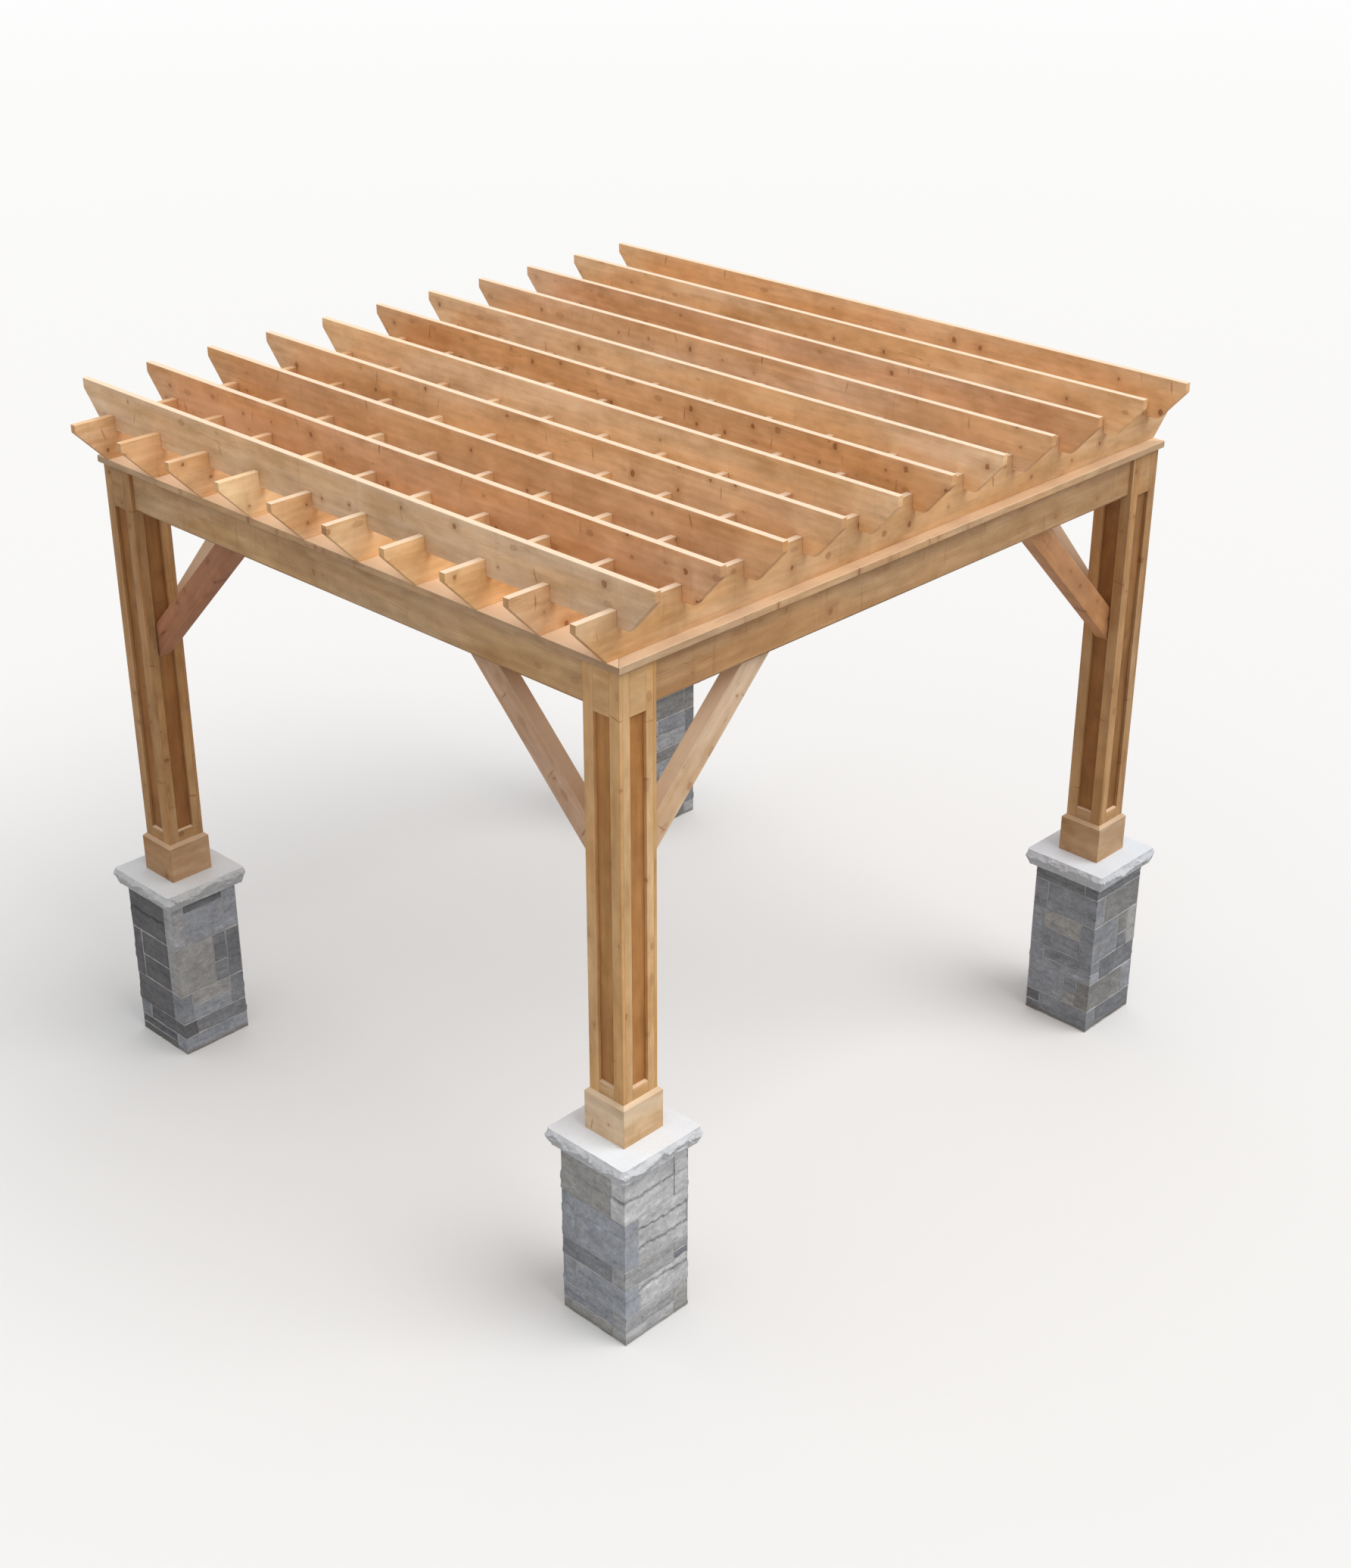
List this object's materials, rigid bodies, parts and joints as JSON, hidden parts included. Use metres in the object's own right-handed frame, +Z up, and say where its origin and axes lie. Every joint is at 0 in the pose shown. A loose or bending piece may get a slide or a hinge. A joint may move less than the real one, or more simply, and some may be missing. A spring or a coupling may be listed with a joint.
{
  "type": "wooden pergola",
  "caption": "Free-standing square wooden pergola: stone piers carry panelled box columns, braced beams and an open canopy of crossed boards.",
  "frame": {"origin": "on the ground, midway between the four piers", "axes": "+Z up; +X along the front beam, to the right seen from the front; +Y from the front to the back"},
  "size_m": [4.647, 4.371, 4.1],
  "materials": {
    "veneer_stone": "matte",
    "cap_stone": "matte",
    "column_wood": "matte",
    "beam_wood": "matte",
    "brace_wood": "matte",
    "canopy_wood": "matte"
  },
  "bodies": {
    "root": {"front_left_pier": "veneer_stone", "front_right_pier": "veneer_stone", "back_left_pier": "veneer_stone", "back_right_pier": "veneer_stone", "pier_caps": "cap_stone", "column_skirts": "column_wood", "front_left_column": "column_wood", "front_right_column": "column_wood", "back_left_column": "column_wood", "back_right_column": "column_wood", "front_beam": "beam_wood", "front_top_plate": "beam_wood", "front_braces": "brace_wood", "right_beam": "beam_wood", "right_top_plate": "beam_wood", "right_braces": "brace_wood", "back_beam": "beam_wood", "back_top_plate": "beam_wood", "back_braces": "brace_wood", "left_beam": "beam_wood", "left_top_plate": "beam_wood", "left_braces": "brace_wood", "joist_01": "canopy_wood", "joist_02": "canopy_wood", "joist_03": "canopy_wood", "joist_04": "canopy_wood", "joist_05": "canopy_wood", "joist_06": "canopy_wood", "joist_07": "canopy_wood", "joist_08": "canopy_wood", "joist_09": "canopy_wood", "joist_10": "canopy_wood", "rafter_01": "canopy_wood", "rafter_02": "canopy_wood", "rafter_03": "canopy_wood", "rafter_04": "canopy_wood", "rafter_05": "canopy_wood", "rafter_06": "canopy_wood", "rafter_07": "canopy_wood", "rafter_08": "canopy_wood", "rafter_09": "canopy_wood", "rafter_10": "canopy_wood", "rafter_11": "canopy_wood"}
  },
  "joints": []
}
